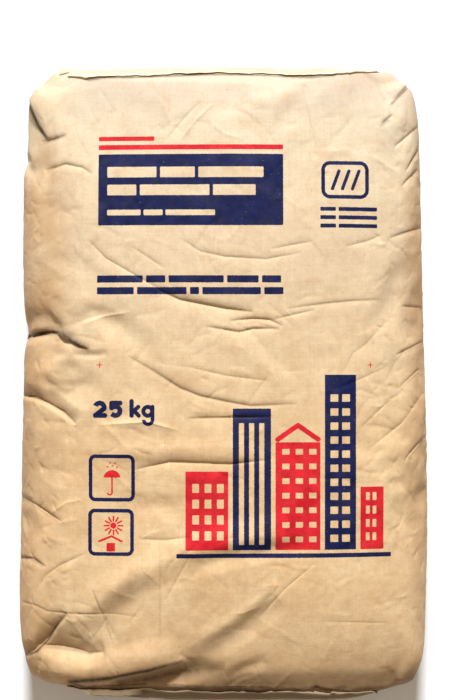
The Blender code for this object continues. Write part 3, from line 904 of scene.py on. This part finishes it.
# The print's artwork for each ink, in mm from the middle of the bag, right and up positive
artwork = {
    "navy": (
        # Panel with lines of words left bare, two lines of words under it
        ("cut", ("box", -112, 53, 141, 205, 1.2), ("words", -104, 184, 9.5, 3.2, 44, 31, 58),
         ("words", -104, 168, 9.5, 3.2, 26, 62, 38), ("words", -104, 150, 5.0, 2.6, 30, 17, 44)),
        ("words", -113, 90, 6.4, 3.0, 41, 17, 49, 28, 17), ("words", -113, 79.5, 6.4, 3.0, 33, 44, 8, 52, 17),
        # Rounded mark with slanted strokes, over thin lines
        ("frame", 87, 130, 165, 199, 8, 3.4), ("stroke", 97, 174, 103, 190, 3.0),
        ("stroke", 106, 174, 112, 190, 3.0), ("stroke", 115, 174, 121, 190, 3.0),
        ("words", 86, 154, 3.6, 2.4, 14, 35), ("words", 86, 146.5, 3.6, 2.4, 14, 35),
        ("words", 86, 139, 3.6, 2.4, 14, 35),
        # 25 kg
        ("part", -110.5, -21.3, 0.35, 0.94, "ring", -110.5, -21.3, 4.1, 4.4),
        ("stroke", -106.6, -22.3, -114.5, -28.3, 4.4), ("stroke", -114.5, -28.3, -105.9, -28.3, 4.4),
        ("part", -98.0, -24.2, 0.8, -0.6, "ring", -96.4, -24.2, 4.1, 4.4),
        ("stroke", -99.8, -17.2, -92.2, -17.2, 4.4), ("stroke", -99.8, -17.2, -99.8, -21.6, 4.4),
        ("stroke", -99.8, -21.0, -95.8, -20.2, 4.4),
        ("stroke", -81.9, -28.3, -81.9, -15.5, 3.96), ("stroke", -80.9, -24.9, -75.9, -20.5, 3.74),
        ("stroke", -79.3, -24.1, -75.5, -28.3, 3.74),
        ("ring", -67.4, -24.4, 3.9, 3.74), ("stroke", -63.2, -20.4, -63.2, -32.0, 3.52),
        ("part", -67.4, -31.9, 0.0, -1.0, "ring", -67.1, -32.0, 3.9, 3.3),
        # Frames of the handling figures, then blocks of flats on a base line
        ("frame", -120.5, -79, -105, -63, 6.0, 3.3), ("frame", -121, -80, -153.5, -111.5, 6.0, 3.3),
        ("cut", ("box", 8, 42, -148, -22), ("windows", 13.5, -143, 9, 118, 3, 1, 4.5, 108)),
        ("cut", ("box", 90, 118, -148, 8), ("windows", 95, -141, 10.5, 12.5, 2, 11, 7, 6.5)),
        ("box", -42, 150, -155, -151, 0.8)),
    "red": (
        # Two bands over the panel, and the printer's register crosses
        ("box", -112, 53, 209, 213.5, 0.8), ("box", -112, -62, 217, 221, 0.8),
        ("stroke", -112.7, 16.7, -108.3, 16.7, 0.8), ("stroke", -110.5, 14.5, -110.5, 18.9, 0.8),
        ("stroke", 128.8, 16.7, 133.2, 16.7, 0.8), ("stroke", 131, 14.5, 131, 18.9, 0.8),
        # Keep dry: an umbrella under drops. Keep out of the sun: the sun over a roof and its hut
        ("part", -99.5, -83.6, 0, 1, "disc", -99.5, -84.5, 7.6), ("stroke", -99.5, -83.0, -99.5, -97.0, 1.5),
        ("part", -99.5, -97.2, 0, -1, "ring", -101.5, -97.0, 2.0, 1.4), ("disc", -103.5, -74.0, 0.75),
        ("disc", -99.0, -73.2, 0.75), ("disc", -95.0, -74.4, 0.75), ("disc", -101.1, -70.4, 0.75),
        ("disc", -96.7, -70.6, 0.75),
        ("disc", -98.3, -126.5, 2.8), ("rays", -98.3, -126.5, 12, 4.2, 8.2, 1.5),
        ("stroke", -111.0, -140.5, -100.0, -135.9, 1.9), ("stroke", -100.0, -135.9, -91.0, -140.5, 1.9),
        ("box", -104.5, -96.9, -149.5, -141.9),
        # Blocks of flats, the middle one under a gable
        ("cut", ("box", -34, 4, -148, -78), ("windows", -28, -139, 11, 14, 3, 4, 6, 8)),
        ("cut", ("box", 46, 86, -148, -52), ("windows", 52, -141, 12, 13, 3, 7, 6.5, 5)),
        ("stroke", 48, -49.5, 66, -37, 4.5), ("stroke", 66, -37, 84, -49.5, 4.5),
        ("cut", ("box", 122, 143, -148, -92), ("windows", 127, -140, 6, 12, 2, 4, 3.4, 7))),
}


def addPrint(w, place, color):  # inks over the paper's colour, and where there is ink
    centre = (*camera["centre"], 0.0)
    flat = w.vector("MULTIPLY_ADD", w.vector("SUBTRACT", place, centre), (inks["nearer"],) * 3, centre)
    ink = Print(w, w.vector("MULTIPLY", flat, (1.0 / mm, 1.0 / mm, 0.0)))
    bleed = w.stretch(w.noise(place, *inks["bleedNoise"]), 0.3, 0.7, -inks["bleed"], inks["bleed"])
    cover = w.stretch(w.split(place)["Z"], *inks["lowest"])
    for noise, limits in (inks["pinholes"], inks["worn"]):
        cover = w.math("MULTIPLY", cover, w.stretch(w.noise(place, *noise), *limits))
    noise, limits = inks["thin"]
    thinness = w.stretch(w.noise(place, *noise), *limits)
    masks = []
    for name in ("red", "navy"):
        distance = w.math("ADD", ink.join(artwork[name]), bleed)
        mask = w.math("MULTIPLY", w.stretch(distance, -inks["edge"], inks["edge"], 1.0, 0.0), cover)
        color = w.mix(mask, color, w.mix(thinness, *inks[name]))
        masks.append(mask)
    return color, w.math("MAXIMUM", *masks)


def wornPaperWithPaintedLight(w, place, pattern):  # paler upwards as a painted highlight, darker at the top end as painted shade, and browner at its sides and lower end, partly rubbed and partly painted shade
    across, along, _ = w.split(place)
    tone = w.math("ADD", *(w.math("MULTIPLY", pattern[key], 0.5) for key in ("cloud", "formation")))
    color = w.mix(w.stretch(tone, *wearAndPaintedLight["tone"]), kraft["deep"], kraft["pale"])
    # Paler towards the valve end: a painted highlight
    color = w.mix(w.stretch(along, *wearAndPaintedLight["paleHighlight"]), color, kraft["paleHighlight"])
    # Darker at the top end: painted shade
    topEndShade = w.math("MULTIPLY", w.stretch(along, *wearAndPaintedLight["topEndShade"]), w.stretch(across, *wearAndPaintedLight["topEndShadeAcross"]))
    color = w.mix(topEndShade, color, kraft["paintedTopShade"])
    # Browner at the sides and the lower end: partly real rubbing, partly painted shade
    left = w.stretch(w.math("SUBTRACT", across, w.stretch(along, *wearAndPaintedLight["leftWider"])), *wearAndPaintedLight["left"])
    right = w.math("MULTIPLY", w.stretch(across, *wearAndPaintedLight["right"]), w.stretch(along, *wearAndPaintedLight["rightAlong"]))
    sides = w.math("MULTIPLY", w.math("MAXIMUM", left, right), w.stretch(along, *wearAndPaintedLight["corners"]))
    rubbingAndShade = w.math("MAXIMUM", sides, w.stretch(along, *wearAndPaintedLight["low"]))
    rubbingAndShade = w.math("MULTIPLY", rubbingAndShade, w.stretch(pattern["patchy"], *wearAndPaintedLight["patchy"]))
    color = w.mix(rubbingAndShade, color, kraft["rubbedAndShade"])
    scuffs = w.math("MULTIPLY", w.stretch(pattern["scuffs"], *wearAndPaintedLight["scuffs"]), sides)
    return w.mix(scuffs, color, kraft["scuffed"])


def shadedPaper(w, color, flat, look):  # an end paper's colour, with its pale cut edge and lip
    across, along, _ = w.split(flat)
    # The lower paper is darker above: painted shade
    low, upper = (w.mix(1.0, color, (look[key],) * 3 + (1,), blend="MULTIPLY") for key in ("low", "upper"))
    color = w.mix(w.stretch(along, *endPaper["change"]), low, upper)
    color = w.mix(w.stretch(along, *endPaper["cutEdge"], 0.0, look["edgeShown"]), color, kraft["cutEdge"])
    # The lower paper's lip takes the pale edge colour as a painted highlight
    if look["lip"]:
        lipHighlightUp, lipHighlightAcross = w.stretch(along, *endPaper["lipHighlightAlong"]), w.stretch(across, *endPaper["lipHighlightAcross"])
        color = w.mix(w.math("MULTIPLY", lipHighlightUp, lipHighlightAcross), color, kraft["cutEdge"])
    return color


def addRelief(w, place, pattern):  # small crumples and fibres, as bumps one on the other
    facet = w.node("ShaderNodeTexVoronoi", (
        ("Vector", place), ("Scale", relief["facetScale"]), ("Smoothness", relief["facetSoftness"])),
        feature="SMOOTH_F1").outputs["Distance"]
    ridge = w.math("ABSOLUTE", w.math("SUBTRACT", pattern["ridges"], 0.5))
    ridge = w.math("MULTIPLY", ridge, relief["ridge"])
    crumples = w.math("ADD", ridge, w.math("MULTIPLY", facet, relief["facet"]))
    fibres = w.math("MULTIPLY", pattern["fibres"], relief["fibre"])
    fibres = w.math("ADD", fibres, w.math("ADD", pattern["streaks"], pattern["wires"]))
    normal = None
    for (strength, depth), height in ((relief["crumple"], crumples), (relief["fine"], fibres)):
        sockets = (("Strength", strength), ("Distance", depth), ("Height", height), ("Normal", normal))
        normal = w.node("ShaderNodeBump", sockets).outputs["Normal"]
    return normal


def kraftPaper(name, printed=False, look=None):
    w = Wiring(name)
    flat = w.node("ShaderNodeUVMap", uv_map="paperFlat").outputs["UV"]
    place = w.node("ShaderNodeTexCoord").outputs["Object"]
    pattern = {key: w.noise(place, *noise) for key, noise in patterns.items()}
    for key, (scale, *noise) in threads.items():
        pattern[key] = w.noise(w.scaled(flat, scale), 1.0, *noise)
    color = wornPaperWithPaintedLight(w, place, pattern)
    for key, start, full, most, tint in marks:
        color = w.mix(w.stretch(pattern[key], start, full, 0.0, most), color, kraft[tint])
    if look:
        color = shadedPaper(w, color, flat, look)
    rough = w.stretch(pattern["formation"], 0.3, 0.7, *kraft["rough"])
    if printed:
        color, inked = addPrint(w, place, color)
        # Painted shade and dirt of the folds and the lower rim darken the paper's colour
        shadeAndDirt = w.node("ShaderNodeAttribute", attribute_name="foldShadeAndDirt").outputs["Fac"]
        shadeAndDirt = w.math("MULTIPLY", shadeAndDirt, w.stretch(pattern["formation"], *wearAndPaintedLight["shadeAndDirt"]))
        color = w.mix(shadeAndDirt, color, kraft["shadeAndDirt"])
        rough = w.math("MULTIPLY", rough, w.stretch(inked, 0.0, 1.0, 1.0, inks["rougher"]))
    w.feed(w.shader, (
        ("Base Color", color), ("Roughness", rough), ("Specular IOR Level", kraft["shine"]),
        ("Normal", addRelief(w, place, pattern))))
    return w.material


sack = makeForm()
fillSack(sack)
refine(sack)
refineCreases(sack)
creaseFace(sack)
creaseEnds(sack)
fitOutline(sack)
thin(sack)
paintFoldShadeAndDirt(sack)
sack.data.materials.append(kraftPaper("kraftPaper", printed=True))
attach(sack, "root")
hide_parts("sack")
print("sack made:", len(sack.data.vertices), "points")

# Pasted papers of the ends, in metres. An edge is (place across, place along) as the camera sees it.
patches = {
    "halfWidth": 0.1375, "low": 0.018, "columns": 150, "rows": 44, "gap": 0.00045, "thick": 0.00045,
    "valveEdge": (
        (-0.138, 0.2728), (-0.121, 0.2714), (-0.105, 0.2735), (-0.084, 0.2736), (-0.048, 0.2750),
        (-0.012, 0.2763), (0.032, 0.2759), (0.068, 0.2738), (0.080, 0.2737), (0.100, 0.2760),
        (0.113, 0.2772), (0.138, 0.2772)),
    "lowerEdge": (
        (-0.138, -0.2690), (-0.127, -0.2706), (-0.118, -0.2717), (-0.062, -0.2712), (-0.048, -0.2734),
        (0.100, -0.2742), (0.138, -0.2731)),
    "lip": (-0.127, -0.118, -0.072, -0.060),    # where the lower one stands out as a lip, with its soft ends
    # Shares of the sheet's height, and how far down and out the lip is there
    "lipRows": (0.70, 0.85, 0.93, 1.0), "lipDown": (0.0230, 0.0090, -0.0005, 0.0),
    "lipOut": (0.0, 0.0015, 0.0052, 0.0),
    # How far the edges stand off the sack, and over which reach at the top and the sides
    "lift": 0.0010, "topReach": 0.0045, "sideReach": 0.004, "sideLift": 0.5,
    # Size of each wave, its length, and a number that tells it from the others, and a sheet's rough height
    "edgeWave": (0.0007, 0.0065, 1.0), "footWave": (0.0008, 0.05, 5.0), "sideWave": (0.0006, 0.02, 3.0),
    "liftWave": (0.6, 0.016, 2.0), "tall": 0.07,
    # How much farther out their edges look than they are, the step in which they are looked for on the
    # sack, and a place outside the bag
    "nearer": 1.016, "step": 0.0004, "outside": 0.40,
}
sleeve = {
    "mouth": -0.1462, "root": -0.1340, "low": 0.028, "edge": ((-0.146, 0.2734), (-0.138, 0.2765)),
    "thick": 0.0004, "around": 64, "along": 22, "ply": 0.0006, "slack": 1.2, "open": 0.0014,
    "ragged": 0.0009, "square": 0.55, "farthest": -0.166,
}


def sackSurface(sack):
    return BVHTree.FromObject(sack, bpy.context.evaluated_depsgraph_get())


def endPoint(tree, end, x, z):  # where a level line from outside meets an end, and which way it faces
    hit, normal, _, _ = tree.ray_cast(Vector((x, end * patches["outside"], z)), Vector((0.0, -end, 0.0)))
    return hit, normal


def seenPoint(tree, x, y):  # where the camera's line of sight through a seen place meets the sack
    eye = Vector((*camera["centre"], camera["distance"] + bagHeight / 2))
    return tree.ray_cast(eye, Vector((x, y, bagHeight / 2)) - eye)[0]


def edgeHeight(tree, x, edge):  # how high a paper's upper edge lies on the sack
    y = np.interp(x, *zip(*edge))
    seen = None
    while seen is None:  # past the outline it comes in until it is on the sack
        seen = seenPoint(tree, x * patches["nearer"], y)
        y -= math.copysign(patches["step"], y)
    return seen.z


# Share, speed and start of each part of a slow random curve
waverParts = ((0.6, 1.0, 1.0), (0.3, 2.3, 1.7), (0.2, 5.1, 2.9))


def waver(place, wave, end=0):
    size, length, seed = wave
    turn, seed = place / length, seed + end
    return size * sum(share * math.sin(turn * speed + seed * start) for share, speed, start in waverParts)


def makeSheet(name, columns, rows, place, thick, closed=False):  # paper whose points place(s, t) gives
    sheet = bmesh.new()
    bmesh.ops.create_grid(sheet, x_segments=columns, y_segments=rows, size=1.0)
    flatMap = sheet.loops.layers.uv.new("paperFlat")
    for vertex in sheet.verts:
        s, t = (vertex.co.x + 1) / 2, (vertex.co.y + 1) / 2
        for loop in vertex.link_loops:
            loop[flatMap].uv = (endPaper["mapSize"][0] * s, endPaper["mapSize"][1] * t)
        vertex.co = place(s, t)
    if closed:
        bmesh.ops.remove_doubles(sheet, verts=sheet.verts, dist=0.00001)
    bmesh.ops.recalc_face_normals(sheet, faces=sheet.faces)
    paperSheet = addPiece(name, sheet)
    paperSheet.data.shade_smooth()
    wall = paperSheet.modifiers.new("wall", "SOLIDIFY")
    wall.thickness = thick
    wall.offset = 0.0
    return paperSheet


def lipShare(x):  # how much of a lip the lower paper has at a place across
    start, full, fade, stop = patches["lip"]
    return smoothShare(x, start, full) * (1.0 - smoothShare(x, fade, stop))


def makePatch(name, sack, end, edge, look):
    tree = sackSurface(sack)
    rows = patches["lipRows"]
    spots = np.linspace(edge[0][0], edge[-1][0], patches["columns"])
    edge = [(x, np.interp(x, *zip(*edge)) + waver(x, patches["edgeWave"], end)) for x in spots]
    tops = {}

    def place(s, t):
        x = (2 * s - 1) * patches["halfWidth"]
        if s not in tops:
            tops[s] = edgeHeight(tree, x, edge)
        top = tops[s]
        low = patches["low"] + waver(x, patches["footWave"], end)
        z = low + t * (top - low)
        lip = lipShare(x) if end < 0 else 0.0
        onLip = np.interp(t, (0.0, *rows), (low, *(top - down for down in patches["lipDown"])))
        z += lip * (onLip - z)
        x += waver(t * patches["tall"], patches["sideWave"], end)
        hit, normal = endPoint(tree, end, x, z)
        fromSide = patches["halfWidth"] - abs(x)
        raised = 1.0 + waver(x, patches["liftWave"], end)
        raised *= math.exp(-((top - z) / patches["topReach"]) ** 2)
        raised += patches["sideLift"] * math.exp(-(fromSide / patches["sideReach"]) ** 2)
        spot = hit + normal * (patches["gap"] + patches["lift"] * max(0.0, raised))
        spot.y += end * lip * np.interp(t, rows, patches["lipOut"])
        return spot

    patch = makeSheet(name, patches["columns"], patches["rows"], place, patches["thick"])
    patch.data.materials.append(kraftPaper(name + "Paper", look=look))
    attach(patch, "root")
    return patch


def makeSleeve(sack):  # a flattened tube, a little open at its mouth
    tree = sackSurface(sack)

    def place(s, t):
        turn = 2 * math.pi * s
        mouth = sleeve["mouth"] + sleeve["ragged"] * math.sin(2 * turn + 1.0)
        x = sleeve["root"] + t * (mouth - sleeve["root"])
        half = (edgeHeight(tree, x, sleeve["edge"]) - sleeve["low"]) / 2
        up = math.cos(turn)
        z = sleeve["low"] + half * (1.0 + math.copysign(abs(up) ** sleeve["square"], up))
        hit, _ = endPoint(tree, 1, max(x, sleeve["farthest"]), z)
        swell = sleeve["open"] * t ** 1.5 * abs(math.sin(turn)) ** 1.3
        ply = sleeve["ply"] + (sleeve["ply"] + swell if math.sin(turn) > 0 else 0.0)
        return Vector((x, hit.y + ply * sleeve["slack"], z))

    tube = makeSheet("valveSleeve", sleeve["around"], sleeve["along"], place, sleeve["thick"], closed=True)
    tube.data.materials.append(kraftPaper("sleevePaper", look=endPaper["sleeve"]))
    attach(tube, "root")
    return tube


topPatch = makePatch("topCoverPatch", sack, 1, patches["valveEdge"], endPaper["valve"])
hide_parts("top_cover_patch")
lowerPatch = makePatch("bottomCoverPatch", sack, -1, patches["lowerEdge"], endPaper["lower"])
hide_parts("bottom_cover_patch")
valveTube = makeSleeve(sack)
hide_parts("valve_sleeve")
print("end papers made")

# Camera straight above, floor and light
lens = bpy.data.cameras.new("camera")
viewer = addObject("camera", lens)
bpy.context.scene.camera = viewer
lens.sensor_fit = "AUTO"
lens.sensor_width = 36.0
lens.lens = lens.sensor_width * camera["distance"] / camera["frameHeight"]
viewer.location = (*camera["centre"], camera["distance"] + bagHeight / 2)
viewer.rotation_euler = (0.0, 0.0, 0.0)

studio = {
    "floorSize": 4.0, "floorColor": (0.9, 0.9, 0.9, 1.0), "floorRough": 0.7, "floorDown": 0.0005,
    "target": (0, 0, 0.05),
    # Place, size, power and colour of each lamp
    "lamps": {
        "keyLight": ((-0.3, 16.6, 11.2), (2.4, 2.1), 6900, (0.89, 0.945, 1.0)),
        "fillLight": ((0.0, -0.25, 2.3), (1.6, 1.6), 12, (1.0, 0.85, 0.68)),
    },
    "air": ((1.0, 0.85, 0.68, 1), 0.16),
}
floorGrid = bmesh.new()
bmesh.ops.create_grid(floorGrid, x_segments=1, y_segments=1, size=studio["floorSize"])
floor = addPiece("floor", floorGrid)
paleFloor = Wiring("paleFloor")
paleFloor.feed(paleFloor.shader, (("Base Color", studio["floorColor"]), ("Roughness", studio["floorRough"])))
floor.data.materials.append(paleFloor.material)
floor.location.z = -studio["floorDown"]

for name, (place, size, power, color) in studio["lamps"].items():
    lamp = bpy.data.lights.new(name, "AREA")
    lamp.shape = "RECTANGLE"
    lamp.size, lamp.size_y = size
    lamp.energy = power
    lamp.color = color
    light = addObject(name, lamp)
    light.location = place
    light.rotation_euler = (Vector(studio["target"]) - Vector(place)).to_track_quat("-Z", "Y").to_euler()
world = bpy.data.worlds.new("studio")
world.use_nodes = True
air = world.node_tree.nodes["Background"]
air.inputs["Color"].default_value, air.inputs["Strength"].default_value = studio["air"]
bpy.context.scene.world = world
bpy.context.scene.view_settings.view_transform = "Standard"
